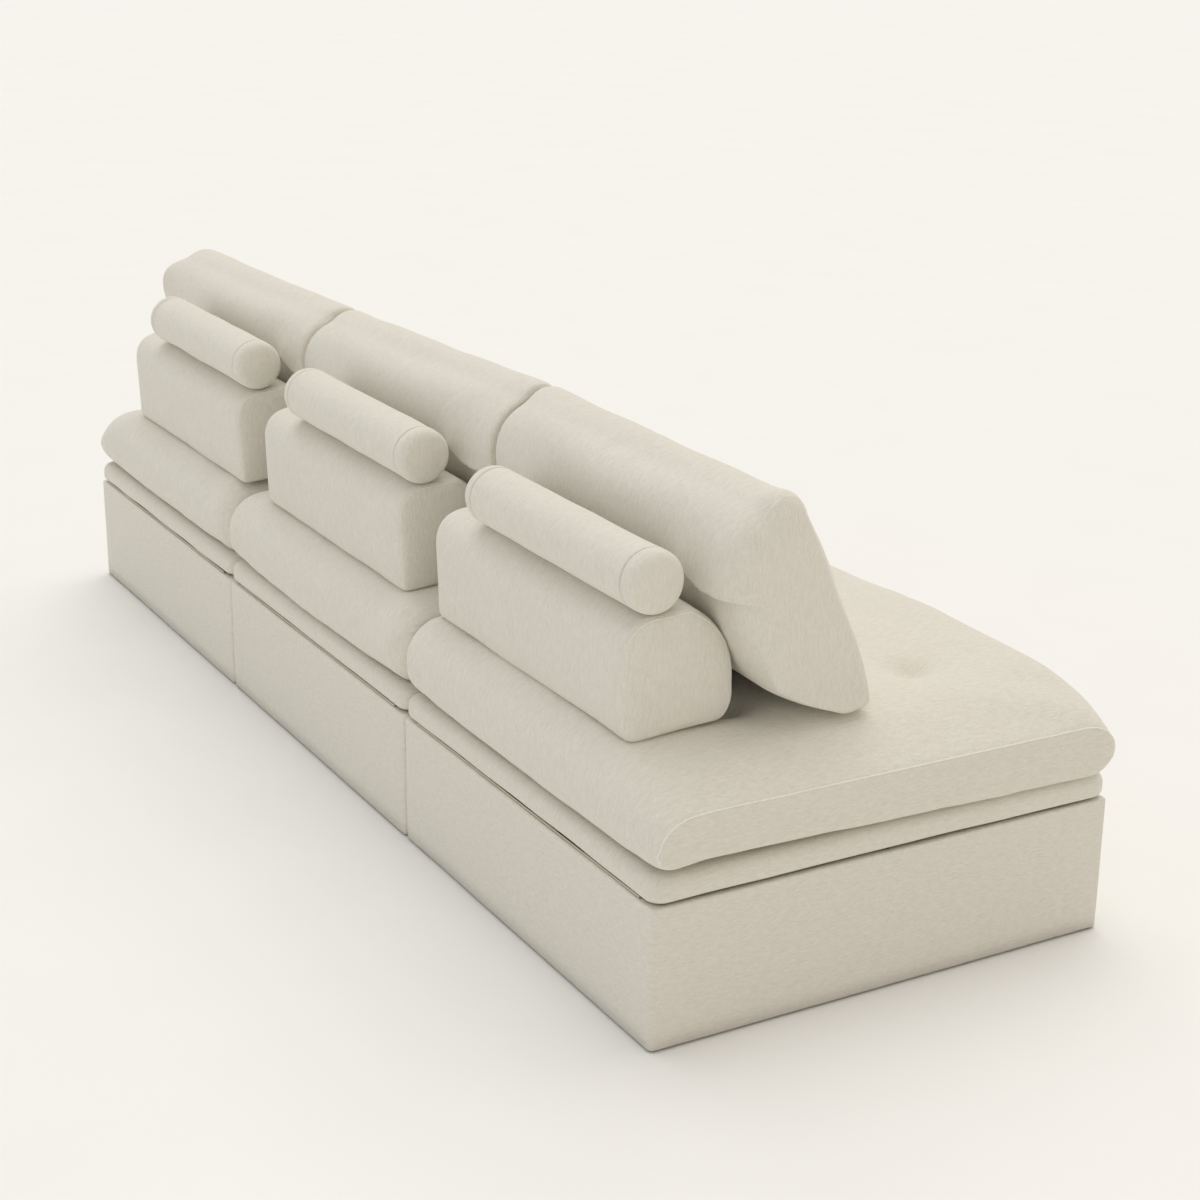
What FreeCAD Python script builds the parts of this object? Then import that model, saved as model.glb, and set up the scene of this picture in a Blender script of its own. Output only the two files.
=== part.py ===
import FreeCAD, Part
import math
import os

os.makedirs("parts", exist_ok=True)

# Driving dimensions, in millimetres. X runs along the row, +Y is the rear, Z is up.
# The origin lies on the floor below the middle of the row.

# Row of modules
MODULE = 900.0
DEPTH = 900.0
MODULE_GAP = 2.0

# Base box
FLOOR_GAP = 5.0
BASE_TOP = 245.0
COVER = 6.0
COVER_RIM = 3.0
COVER_CORNER = 10.0
COVER_EDGE = 4.0
BOARD = 18.0
FLOOR_BOARD = 12.0
FLOOR_BOARD_LIFT = 12.0
POST = 28.0
POST_DROP = 10.0
GLIDE_R = 9.0

# Lid
LID_GAP = 4.0
LID = 44.0
LID_BOARD = 12.0
LID_BOARD_INSET = 22.0
LID_CORNER = 30.0
LID_TOP_EDGE = 20.0
LID_BOTTOM_EDGE = 12.0
BUMPER_R = 5.0
BUMPER_INSET = 18.0
BUMPER_SPREAD = 300.0

# Hinge along the rear edge
HINGE_LENGTH = 800.0
HINGE_KNUCKLES = 9
HINGE_INSET = 6.5
HINGE_LEAF = 0.9
HINGE_LEAF_WIDTH = 16.0
HINGE_KNUCKLE_R = 1.9
HINGE_PIN_R = 1.0
HINGE_FIT = 0.05
HINGE_SIDE_GAP = 0.5

# Links between the bases
FORK = 3.0
FORK_WIDTH = 50.0
FORK_REACH = 35.0
FORK_HOLD = 60.0
LINK_SPREAD = 300.0
PEG_R = 5.0
PEG_FIT = 0.2
PEG_DROP = 3.8
PEG_SHANK_R = 3.0
PEG_SHANK = 25.0
PEG_INSET = 15.0

# Clearance between loose pieces
REST_GAP = 0.3
LEAN_GAP = 0.6

# Seat cushion
SEAT = 164.0
SEAT_CROWN = 10.0
SEAT_SLOPE = 200.0
SEAT_OVERHANG = 15.0
SEAT_END_OVERHANG = 12.0
SEAT_SIDE_GAP = 0.5
SEAT_WIDEST = 0.42
SEAT_NOSE_LOW = 44.0
SEAT_NOSE_TOP = 60.0
SEAT_FREE_DROP = 59.0
SEAT_FREE_RUN = 200.0
SEAT_INNER_DROP = 22.0
SEAT_INNER_RUN = 70.0
SEAT_END_LIFT = 14.0
SEAT_END_DRAW = 24.0
SEAT_CORE_MARGIN = 70.0
SEAT_CORE_SKIN = 28.0
TUFT_R = 120.0
TUFT_DEPTH = 16.0
TUFT_X = 219.0
TUFT_Y = 190.0

# Back block
BACK_PITCH = 828.0
BACK_OFFSET = -18.0
BLOCK_WIDTH = 690.0
BLOCK_DEPTH = 203.0
BLOCK = 202.0
BLOCK_SETBACK = 45.0
BLOCK_REAR_EDGE = 54.0
BLOCK_FOOT_EDGE = 12.0
BLOCK_END_RUN = 16.0
BLOCK_CORE_MARGIN = 30.0

# Bolster
BOLSTER_R = 52.0
BOLSTER_LENGTH = 590.0
BOLSTER_SHIFT = -60.0
BOLSTER_SETBACK = 62.0
BOLSTER_EDGE = 22.0
BOLSTER_SEAM = 38.0
BOLSTER_SEAM_R = 1.5
BOLSTER_CORE_R = 38.0
BOLSTER_CORE_INSET = 60.0
BOLSTER_CORE_FIT = 0.3

# Back cushion
CUSHION = 392.0
CUSHION_THICK = 180.0
CUSHION_LEAN = 24.7
CUSHION_LEFT_INSET = 90.0
CUSHION_SIDE_GAP = 1.0
CUSHION_END_RUN = 48.0
CUSHION_END_SCALE = 0.92
CUSHION_CORE_INSET = 60.0

# Heights and faces that follow from the sizes above
BASE_X = (MODULE - MODULE_GAP) / 2
BASE_Y = DEPTH / 2
BOARD_X = BASE_X - COVER
BOARD_Y = BASE_Y - COVER
BOARD_TOP = BASE_TOP - COVER_RIM
INNER_X = BOARD_X - BOARD
INNER_Y = BOARD_Y - BOARD
BIN_FLOOR = FLOOR_GAP + FLOOR_BOARD_LIFT + FLOOR_BOARD
LID_BOTTOM = BASE_TOP + LID_GAP
LID_TOP = LID_BOTTOM + LID
HINGE_Y = BASE_Y - HINGE_INSET
HINGE_Z = BASE_TOP + LID_GAP / 2
SEAT_LOW = LID_TOP + REST_GAP
SEAT_TOP = SEAT_LOW + SEAT
SEAT_EDGE_Y = BASE_Y + SEAT_OVERHANG - SEAT_NOSE_TOP
TILT = math.atan2(SEAT_CROWN, SEAT_SLOPE)

SIDES = ["left", "middle", "right"]


def vec(x, y, z):
    return FreeCAD.Vector(x, y, z)


def box(x0, x1, y0, y1, z0, z1):
    return Part.makeBox(x1 - x0, y1 - y0, z1 - z0, vec(x0, y0, z0))


def rod(r, x, y, z0, z1):
    return Part.makeCylinder(r, z1 - z0, vec(x, y, z0), vec(0, 0, 1))


def rod_x(r, x0, x1, y, z):
    return Part.makeCylinder(r, x1 - x0, vec(x0, y, z), vec(1, 0, 0))


def save(shape, side, piece):
    shape.exportStep("parts/" + side + "_" + piece + ".step")


def fused(shapes):
    whole = shapes[0].multiFuse(shapes[1:])
    return whole.removeSplitter().Solids[0]


def edges_at_z(shape, z):
    return [e for e in shape.Edges if abs(e.BoundBox.ZMin - z) < 1e-4 and abs(e.BoundBox.ZMax - z) < 1e-4]


def upright_edges(shape):
    return [e for e in shape.Edges if e.BoundBox.XLength < 1e-4 and e.BoundBox.YLength < 1e-4]


def outline(corners, x):
    # corners: (y, z, bulge) going round with the inside on the left; the bulge
    # is how far the edge that leaves the corner bows outward, 0 for a line
    edges = []
    for i, (y, z, bulge) in enumerate(corners):
        y2, z2, _ = corners[(i + 1) % len(corners)]
        a = vec(x, y, z)
        b = vec(x, y2, z2)
        if bulge == 0:
            edges.append(Part.makeLine(a, b))
        else:
            chord = math.hypot(y2 - y, z2 - z)
            my = (y + y2) / 2 + bulge * (z2 - z) / chord
            mz = (z + z2) / 2 - bulge * (y2 - y) / chord
            edges.append(Part.Arc(a, vec(x, my, mz), b).toShape())
    return Part.Wire(edges)


def prism(corners, x0, x1):
    return Part.Face(outline(corners, x0)).extrude(vec(x1 - x0, 0, 0))


def between(wires):
    return Part.makeLoft(wires, True, False)


def scaled(corners, s, y0, z0):
    return [(y0 + (y - y0) * s, z0 + (z - z0) * s, b * s) for y, z, b in corners]


# Seat cushion: a full rounded front and rear, and ends that fall to a sewn seam
def seat_corners(drop, left, lift, draw):
    half = BASE_Y + SEAT_OVERHANG - draw
    low = SEAT_LOW + lift
    crown = SEAT_CROWN * (1 - 0.9 * left)
    top = SEAT_TOP - SEAT_CROWN - drop * left
    ridge = half - SEAT_NOSE_TOP - SEAT_SLOPE
    mid = low + (top - low) * SEAT_WIDEST
    low_arc = 0.2 * math.hypot(SEAT_NOSE_LOW, mid - low)
    top_arc = 0.2 * math.hypot(SEAT_NOSE_TOP, top - mid)
    return [
        (-half + SEAT_NOSE_LOW, low, 0),
        (half - SEAT_NOSE_LOW, low, low_arc),
        (half, mid, top_arc),
        (half - SEAT_NOSE_TOP, top, 0),
        (ridge, top + crown, 0),
        (-ridge, top + crown, 0),
        (-half + SEAT_NOSE_TOP, top, top_arc),
        (-half, mid, low_arc),
    ]


def seat_end(x, way, drop, run):
    # way is +1 or -1, from the end inwards
    wires = []
    for part in (0.0, 0.07, 0.2, 0.45, 0.72, 1.0):
        left = (1 - part) ** 1.8
        tuck = max(0.0, 1 - part / 0.6) ** 2
        corners = seat_corners(drop, left, SEAT_END_LIFT * tuck, SEAT_END_DRAW * tuck)
        wires.append(outline(corners, x + way * part * run))
    return between(wires)


def seat_shape(x0, x1, drop0, run0, drop1, run1, cx):
    body = prism(seat_corners(0, 0, 0, 0), x0 + run0, x1 - run1)
    ends = [seat_end(x0, 1, drop0, run0), seat_end(x1, -1, drop1, run1)]
    whole = fused([body] + ends)
    for sx in (-1, 1):
        for sy in (-1, 1):
            centre = vec(cx + sx * TUFT_X, sy * TUFT_Y, SEAT_TOP + TUFT_R - TUFT_DEPTH)
            whole = whole.cut(Part.makeSphere(TUFT_R, centre))
    return whole.Solids[0]


# Back block: it stands on the slope behind the crown of the seat, so it tilts.
# Its own frame has its foot's rear corner at 0, runs forward, then up
def block_point(w, v, bulge=0):
    y = BASE_Y - BLOCK_SETBACK - w * math.cos(TILT) + v * math.sin(TILT)
    foot_y = BASE_Y - BLOCK_SETBACK - w * math.cos(TILT)
    foot_z = SEAT_TOP - SEAT_CROWN + (SEAT_EDGE_Y - foot_y) * math.tan(TILT)
    z = foot_z + REST_GAP / math.cos(TILT) + v * math.cos(TILT)
    return (y, z, bulge)


def block_corners():
    deep = BLOCK_DEPTH
    foot = BLOCK_FOOT_EDGE
    edge = BLOCK_REAR_EDGE
    return [
        block_point(0.87 * deep, 0),
        block_point(foot, 0, 0.2 * foot * math.sqrt(2)),
        block_point(0, foot),
        block_point(0, BLOCK - edge, 0.205 * edge * math.sqrt(2)),
        block_point(edge, BLOCK),
        block_point(0.63 * deep, BLOCK, 0.13 * deep),
        block_point(0.99 * deep, 0.27 * BLOCK, 0.045 * deep),
    ]


def end_cap(corners, x, way, run, smallest, y0, z0):
    wires = []
    for part in (0.0, 0.12, 0.35, 0.65, 1.0):
        s = 1 - (1 - smallest) * (1 - part) ** 2.4
        wires.append(outline(scaled(corners, s, y0, z0), x + way * part * run))
    return between(wires)


def capped(corners, x0, x1, run, smallest, y0, z0):
    body = prism(corners, x0 + run, x1 - run)
    first = end_cap(corners, x0, 1, run, smallest, y0, z0)
    last = end_cap(corners, x1, -1, run, smallest, y0, z0)
    return fused([body, first, last])


# Bolster: it lies on the top of the block
BOLSTER_Y, BOLSTER_Z, _ = block_point(BOLSTER_SETBACK, BLOCK + REST_GAP + BOLSTER_R)


# Back cushion: its section lies along a line that leans back, with the origin
# at the front of its foot
def cushion_point(t, n, bulge, y0, z0):
    lean = math.radians(CUSHION_LEAN)
    y = y0 + t * math.sin(lean) + n * math.cos(lean)
    z = z0 + t * math.cos(lean) - n * math.sin(lean)
    return (y, z, bulge)


def cushion_corners(y0, z0):
    long = CUSHION
    thick = CUSHION_THICK
    return [
        cushion_point(-0.05 * long, 0.12 * thick, 0.01 * thick, y0, z0),
        cushion_point(0.0, 0.42 * thick, 0.03 * thick, y0, z0),
        cushion_point(0.27 * long, 0.95 * thick, 0.05 * thick, y0, z0),
        cushion_point(0.82 * long, 0.97 * thick, 0.13 * thick, y0, z0),
        cushion_point(1.0 * long, 0.40 * thick, 0.085 * thick, y0, z0),
        cushion_point(0.965 * long, 0.0, 0.11 * thick, y0, z0),
    ]


def cushion_core_corners(y0, z0):
    parts = [(0.09, 0.14), (0.10, 0.42), (0.29, 0.80), (0.80, 0.80), (0.91, 0.38), (0.88, 0.14)]
    return [cushion_point(t * CUSHION, n * CUSHION_THICK, 0, y0, z0) for t, n in parts]


def cushion_front(z0):
    # how far back the cushion can lean before it meets the block or the bolster
    block = outline(block_corners(), 0)
    ring = Part.Wire([Part.makeCircle(BOLSTER_R, vec(0, BOLSTER_Y, BOLSTER_Z), vec(1, 0, 0))])
    clear = -BASE_Y
    tight = BASE_Y
    for _ in range(26):
        y0 = (clear + tight) / 2
        wire = outline(cushion_corners(y0, z0), 0)
        gap = min(wire.distToShape(block)[0], wire.distToShape(ring)[0])
        passes = wire.BoundBox.YMax <= BOLSTER_Y - BOLSTER_R - LEAN_GAP
        if gap >= LEAN_GAP and passes:
            clear = y0
        else:
            tight = y0
    return clear


# The cushion stands on the seat and leans as far back as it can
CUSHION_Z = SEAT_TOP + REST_GAP - outline(cushion_corners(0, 0), 0).BoundBox.ZMin
CUSHION_Y = cushion_front(CUSHION_Z)

for index, side in enumerate(SIDES):
    cx = (index - 1) * MODULE
    bx = (index - 1) * BACK_PITCH + BACK_OFFSET
    free_low = index == 0
    free_high = index == 2

    # Base boards
    front = box(cx - BOARD_X, cx + BOARD_X, -BOARD_Y, -INNER_Y, FLOOR_GAP, BOARD_TOP)
    save(front, side, "base_front_board")
    rear = box(cx - BOARD_X, cx + BOARD_X, INNER_Y, BOARD_Y, FLOOR_GAP, BOARD_TOP)
    save(rear, side, "base_rear_board")

    # The pegs of the outer modules stand in the side board next to the middle one
    peg_x = cx - (index - 1) * (BASE_X - PEG_INSET)
    pegs = []
    frames = []
    for sx in (-1, 1):
        x0, x1 = sorted((cx + sx * INNER_X, cx + sx * BOARD_X))
        frames.append(box(x0, x1, -INNER_Y, INNER_Y, FLOOR_GAP, BOARD_TOP))
    if index != 1:
        for sy in (-1, 1):
            py = sy * LINK_SPREAD
            shank = rod(PEG_SHANK_R, peg_x, py, FLOOR_GAP, FLOOR_GAP + PEG_SHANK)
            collar = rod(PEG_R, peg_x, py, FLOOR_GAP - PEG_DROP, FLOOR_GAP)
            frames = [f.cut(shank) for f in frames]
            pegs.append(fused([collar, shank]))
        save(Part.makeCompound(pegs), side, "link_pegs")
    for sx in (-1, 1):
        for sy in (-1, 1):
            px = sorted((cx + sx * INNER_X, cx + sx * (INNER_X - POST)))
            py = sorted((sy * INNER_Y, sy * (INNER_Y - POST)))
            frames.append(box(px[0], px[1], py[0], py[1], BIN_FLOOR, BOARD_TOP - POST_DROP))
    save(Part.makeCompound([f.Solids[0] for f in frames]), side, "base_side_frames")
    floor = box(cx - INNER_X, cx + INNER_X, -INNER_Y, INNER_Y, BIN_FLOOR - FLOOR_BOARD, BIN_FLOOR)
    save(floor, side, "base_floor_board")

    # Fabric cover of the base, folded in over the rim
    cover = box(cx - BASE_X, cx + BASE_X, -BASE_Y, BASE_Y, FLOOR_GAP, BASE_TOP)
    cover = cover.makeFillet(COVER_CORNER, upright_edges(cover))
    cover = cover.makeFillet(COVER_EDGE, edges_at_z(cover, BASE_TOP))
    cover = cover.cut(box(cx - BOARD_X, cx + BOARD_X, -BOARD_Y, BOARD_Y, FLOOR_GAP - 1, BOARD_TOP))
    cover = cover.cut(box(cx - INNER_X, cx + INNER_X, -INNER_Y, INNER_Y, FLOOR_GAP, BASE_TOP + 1))
    save(cover.Solids[0], side, "base_cover")

    # Glides below the corners
    glides = []
    for sx in (-1, 1):
        for sy in (-1, 1):
            gx = cx + sx * (BOARD_X - BOARD / 2)
            gy = sy * (BOARD_Y - BOARD / 2)
            glides.append(rod(GLIDE_R, gx, gy, 0, FLOOR_GAP))
    save(Part.makeCompound(glides), side, "base_glides")

    # Bumpers on the rim that the lid lies on
    bumpers = []
    for sx in (-1, 1):
        bumper_top = LID_BOTTOM - REST_GAP
        bumpers.append(rod(BUMPER_R, cx + sx * BUMPER_SPREAD, -BASE_Y + BUMPER_INSET, BASE_TOP, bumper_top))
        bumpers.append(rod(BUMPER_R, cx + sx * (BASE_X - BUMPER_INSET), 0, BASE_TOP, bumper_top))
    save(Part.makeCompound(bumpers), side, "lid_bumpers")

    # Hinge: base leaf with its pin, and lid leaf, with knuckles in turn
    step = HINGE_LENGTH / HINGE_KNUCKLES
    x_low = cx - HINGE_LENGTH / 2
    x_high = cx + HINGE_LENGTH / 2
    leaf_y = HINGE_Y - HINGE_LEAF_WIDTH
    short_y = HINGE_Y - 2 * HINGE_KNUCKLE_R
    low_leaf = [box(x_low, x_high, leaf_y, short_y, BASE_TOP, BASE_TOP + HINGE_LEAF)]
    high_leaf = [box(x_low, x_high, leaf_y, short_y, LID_BOTTOM - HINGE_LEAF, LID_BOTTOM)]
    low_leaf.append(rod_x(HINGE_PIN_R, x_low, x_high, HINGE_Y, HINGE_Z))
    bore = rod_x(HINGE_PIN_R + HINGE_FIT, x_low - 1, x_high + 1, HINGE_Y, HINGE_Z)
    for k in range(HINGE_KNUCKLES):
        k0 = x_low + k * step + HINGE_SIDE_GAP / 2
        k1 = x_low + (k + 1) * step - HINGE_SIDE_GAP / 2
        knuckle = rod_x(HINGE_KNUCKLE_R, k0, k1, HINGE_Y, HINGE_Z)
        if k % 2 == 0:
            low_leaf.append(knuckle)
            low_leaf.append(box(k0, k1, short_y, HINGE_Y, BASE_TOP, BASE_TOP + HINGE_LEAF))
        else:
            high_leaf.append(knuckle)
            high_leaf.append(box(k0, k1, short_y, HINGE_Y, LID_BOTTOM - HINGE_LEAF, LID_BOTTOM))
    save(fused(low_leaf), side, "hinge_base_leaf")
    save(fused(high_leaf).cut(bore).Solids[0], side, "hinge_lid_leaf")

    # Lid: a board let into the underside of a padded slab
    lid_x = BASE_X - LID_BOARD_INSET
    lid_y = BASE_Y - LID_BOARD_INSET
    board = box(cx - lid_x, cx + lid_x, -lid_y, lid_y, LID_BOTTOM, LID_BOTTOM + LID_BOARD)
    save(board, side, "lid_board")
    pad = box(cx - BASE_X, cx + BASE_X, -BASE_Y, BASE_Y, LID_BOTTOM, LID_TOP)
    pad = pad.makeFillet(LID_CORNER, upright_edges(pad))
    pad = pad.makeFillet(LID_TOP_EDGE, edges_at_z(pad, LID_TOP))
    pad = pad.makeFillet(LID_BOTTOM_EDGE, edges_at_z(pad, LID_BOTTOM))
    save(pad.cut(board).Solids[0], side, "lid_pad")

    # Seat cushion: cover and core
    seat_x0 = cx - MODULE / 2 + SEAT_SIDE_GAP
    seat_x1 = cx + MODULE / 2 - SEAT_SIDE_GAP
    low_end = (SEAT_INNER_DROP, SEAT_INNER_RUN)
    high_end = (SEAT_INNER_DROP, SEAT_INNER_RUN)
    if free_low:
        seat_x0 = cx - MODULE / 2 - SEAT_END_OVERHANG
        low_end = (SEAT_FREE_DROP, SEAT_FREE_RUN)
    if free_high:
        seat_x1 = cx + MODULE / 2 + SEAT_END_OVERHANG
        high_end = (SEAT_FREE_DROP, SEAT_FREE_RUN)
    seat = seat_shape(seat_x0, seat_x1, low_end[0], low_end[1], high_end[0], high_end[1], cx)
    core_x = MODULE / 2 - SEAT_CORE_MARGIN
    core_y = BASE_Y - SEAT_CORE_MARGIN
    core_top = SEAT_TOP - max(SEAT_INNER_DROP, TUFT_DEPTH) - SEAT_CORE_SKIN
    core = box(cx - core_x, cx + core_x, -core_y, core_y, SEAT_LOW + SEAT_CORE_SKIN, core_top)
    save(core, side, "seat_core")
    save(seat.cut(core).Solids[0], side, "seat_cover")

    # Back block: cover and core
    half = BLOCK_WIDTH / 2
    m = BLOCK_CORE_MARGIN
    foot_y, foot_z, _ = block_point(BLOCK_DEPTH / 2, 0)
    block = capped(block_corners(), bx - half, bx + half, BLOCK_END_RUN, 0.93, foot_y, foot_z)
    core = prism(
        [
            block_point(BLOCK_DEPTH - 1.4 * m, m),
            block_point(m, m),
            block_point(m, BLOCK - 1.3 * m),
            block_point(0.6 * BLOCK_DEPTH, BLOCK - 1.3 * m),
            block_point(BLOCK_DEPTH - 1.4 * m, 0.42 * BLOCK),
        ],
        bx - half + m,
        bx + half - m,
    )
    save(core, side, "block_core")
    save(block.cut(core).Solids[0], side, "block_cover")

    # Bolster: cover with a sewn ring near each end, and core
    half = BOLSTER_LENGTH / 2
    rx = bx + BOLSTER_SHIFT
    roll = rod_x(BOLSTER_R, rx - half, rx + half, BOLSTER_Y, BOLSTER_Z)
    rims = [e for e in roll.Edges if e.BoundBox.XLength < 1e-4]
    roll = roll.makeFillet(BOLSTER_EDGE, rims)
    for sx in (-1, 1):
        ring_at = vec(rx + sx * (half - BOLSTER_SEAM), BOLSTER_Y, BOLSTER_Z)
        roll = roll.cut(Part.makeTorus(BOLSTER_R, BOLSTER_SEAM_R, ring_at, vec(1, 0, 0)))
    inner = half - BOLSTER_CORE_INSET
    core = rod_x(BOLSTER_CORE_R, rx - inner, rx + inner, BOLSTER_Y, BOLSTER_Z)
    hole_r = BOLSTER_CORE_R + BOLSTER_CORE_FIT
    hole = rod_x(hole_r, rx - inner, rx + inner, BOLSTER_Y, BOLSTER_Z)
    save(core, side, "bolster_core")
    save(roll.cut(hole).Solids[0], side, "bolster_cover")

    # Back cushion: cover and core, kept within its own module
    cush_x0 = cx - MODULE / 2 + CUSHION_SIDE_GAP
    cush_x1 = cx + MODULE / 2 - CUSHION_SIDE_GAP
    if free_low:
        cush_x0 = cx - MODULE / 2 + CUSHION_LEFT_INSET
    corners = cushion_corners(CUSHION_Y, CUSHION_Z)
    foot_y = corners[1][0]
    foot_z = corners[1][1]
    cushion = capped(corners, cush_x0, cush_x1, CUSHION_END_RUN, CUSHION_END_SCALE, foot_y, foot_z)
    core_corners = cushion_core_corners(CUSHION_Y, CUSHION_Z)
    core = prism(core_corners, cush_x0 + CUSHION_CORE_INSET, cush_x1 - CUSHION_CORE_INSET)
    save(core, side, "back_core")
    save(cushion.cut(core).Solids[0], side, "back_cover")

# Link forks below the middle base, their slots open towards the outer modules
forks = []
for sx in (-1, 1):
    for sy in (-1, 1):
        fy = sy * LINK_SPREAD
        x0, x1 = sorted((sx * (BASE_X - FORK_HOLD), sx * (BASE_X + FORK_REACH)))
        fork = box(x0, x1, fy - FORK_WIDTH / 2, fy + FORK_WIDTH / 2, FLOOR_GAP - FORK, FLOOR_GAP)
        peg_x = sx * (BASE_X + MODULE_GAP + PEG_INSET)
        slot_r = PEG_R + PEG_FIT
        slot = rod(slot_r, peg_x, fy, 0, FLOOR_GAP)
        s0, s1 = sorted((peg_x, sx * (BASE_X + FORK_REACH + 1)))
        slot = slot.fuse(box(s0, s1, fy - slot_r, fy + slot_r, 0, FLOOR_GAP))
        r0, r1 = sorted((sx * (BASE_X + MODULE_GAP / 2), sx * (BASE_X + FORK_REACH + 1)))
        relief = box(r0, r1, fy - FORK_WIDTH, fy + FORK_WIDTH, FLOOR_GAP - 2 * REST_GAP, FLOOR_GAP + 1)
        forks.append(fork.cut(slot).cut(relief).Solids[0])
save(Part.makeCompound(forks), "middle", "link_forks")
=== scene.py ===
import math

import bmesh
import bpy
from mathutils import Matrix, Vector, noise


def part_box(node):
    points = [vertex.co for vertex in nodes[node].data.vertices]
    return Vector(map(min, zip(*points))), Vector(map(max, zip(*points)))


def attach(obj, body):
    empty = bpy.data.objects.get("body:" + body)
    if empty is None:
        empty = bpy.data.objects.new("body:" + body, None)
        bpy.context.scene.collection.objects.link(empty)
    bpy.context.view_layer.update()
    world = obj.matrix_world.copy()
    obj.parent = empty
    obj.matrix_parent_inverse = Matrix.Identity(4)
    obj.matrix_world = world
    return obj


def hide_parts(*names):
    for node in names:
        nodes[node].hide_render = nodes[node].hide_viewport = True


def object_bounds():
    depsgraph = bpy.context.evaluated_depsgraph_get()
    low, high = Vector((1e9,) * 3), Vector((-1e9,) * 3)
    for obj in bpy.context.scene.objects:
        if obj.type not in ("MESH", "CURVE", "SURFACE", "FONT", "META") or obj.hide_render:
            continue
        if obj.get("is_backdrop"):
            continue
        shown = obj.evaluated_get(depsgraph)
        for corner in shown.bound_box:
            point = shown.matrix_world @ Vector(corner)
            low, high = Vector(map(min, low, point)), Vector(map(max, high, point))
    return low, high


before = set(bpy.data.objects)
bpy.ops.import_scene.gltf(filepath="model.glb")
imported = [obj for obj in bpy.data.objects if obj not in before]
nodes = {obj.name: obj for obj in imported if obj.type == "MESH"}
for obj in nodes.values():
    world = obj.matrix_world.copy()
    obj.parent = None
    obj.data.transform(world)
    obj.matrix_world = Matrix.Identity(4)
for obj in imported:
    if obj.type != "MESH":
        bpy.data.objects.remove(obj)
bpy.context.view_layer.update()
SIDES = ("left", "middle", "right")

# Base boards: each base is a box of pale plywood with corner posts and a floor
# board, glued and screwed. They show when the lid is up.
PLY_LIGHT = (0.77, 0.63, 0.46, 1)
PLY_DARK = (0.63, 0.49, 0.32, 1)
PLY_GRAIN = (3.0, 70.0, 70.0)
PLY_RELIEF = (0.2, 0.0004)
BASE_BOARDS = ("base_front_board", "base_rear_board", "base_side_frames", "base_floor_board")


def new_material(name, roughness):
    material = bpy.data.materials.new(name)
    material.use_nodes = True
    shader = material.node_tree.nodes["Principled BSDF"]
    shader.inputs["Roughness"].default_value = roughness
    return material, shader


def grain(material, scale, detail, twist):
    # noise on the piece's own coordinates, stretched by the three scales
    tree = material.node_tree
    place = tree.nodes.new("ShaderNodeTexCoord")
    stretch = tree.nodes.new("ShaderNodeMapping")
    stretch.inputs["Scale"].default_value = scale
    pattern = tree.nodes.new("ShaderNodeTexNoise")
    pattern.inputs["Scale"].default_value = 1.0
    pattern.inputs["Detail"].default_value = detail
    pattern.inputs["Distortion"].default_value = twist
    tree.links.new(place.outputs["Object"], stretch.inputs["Vector"])
    tree.links.new(stretch.outputs["Vector"], pattern.inputs["Vector"])
    return pattern.outputs["Fac"]


def ramp(material, value, low, high, span):
    # the colour goes from low to high while the value goes through the span
    tree = material.node_tree
    colours = tree.nodes.new("ShaderNodeValToRGB")
    colours.color_ramp.elements[0].position = span[0]
    colours.color_ramp.elements[0].color = low
    colours.color_ramp.elements[1].position = span[1]
    colours.color_ramp.elements[1].color = high
    tree.links.new(value, colours.inputs["Fac"])
    return colours.outputs["Color"]


def bump(material, shader, height, strength, depth):
    tree = material.node_tree
    relief = tree.nodes.new("ShaderNodeBump")
    relief.inputs["Strength"].default_value = strength
    relief.inputs["Distance"].default_value = depth
    tree.links.new(height, relief.inputs["Height"])
    tree.links.new(relief.outputs["Normal"], shader.inputs["Normal"])


def grained(name, roughness, scale, detail, twist, low, high, span=(0.3, 0.7), relief=None):
    # a finish coloured by its grain; relief is the strength and depth of its bumps
    material, shader = new_material(name, roughness)
    height = grain(material, scale, detail, twist)
    colour = ramp(material, height, low, high, span)
    material.node_tree.links.new(colour, shader.inputs["Base Color"])
    if relief:
        bump(material, shader, height, *relief)
    return material, shader


def dress(node, material):
    node.data.materials.clear()
    node.data.materials.append(material)


plywood, _ = grained(
    "plywood", roughness=0.55, scale=PLY_GRAIN, detail=6, twist=0.5,
    low=PLY_DARK, high=PLY_LIGHT, relief=PLY_RELIEF,
)
for side in SIDES:
    for board in BASE_BOARDS:
        dress(nodes[f"{side}_{board}"], plywood)

# Glides, bumpers and the metal between the pieces: grey plastic glides nailed
# below the corners, rubber bumpers on the rim, zinc-plated hinges whose metal is
# tinted a warm tan as painted shade, so that they read as cloth in shadow in the
# gap under the lid, and links of steel with a black powder coat.
RUBBER_LOW = (0.050, 0.047, 0.042, 1)
RUBBER_HIGH = (0.085, 0.080, 0.072, 1)
RUBBER_GRAIN = (300, 300, 300)
RUBBER_RELIEF = (0.2, 0.0003)
# the hinges' warm tan is painted shade: a tint set so that the metal reads as cloth in shadow
# in the gap under the lid
ZINC_GAP_SHADE_LOW = (0.47, 0.42, 0.34, 1)
ZINC_GAP_SHADE_HIGH = (0.62, 0.57, 0.48, 1)
ZINC_BRUSHED = (8, 500, 500)
ZINC_RELIEF = (0.1, 0.0002)
COAT_LOW = (0.055, 0.055, 0.054, 1)
COAT_HIGH = (0.10, 0.10, 0.098, 1)
COAT_GRAIN = (700, 700, 700)
COAT_RELIEF = (0.3, 0.0002)

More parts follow.
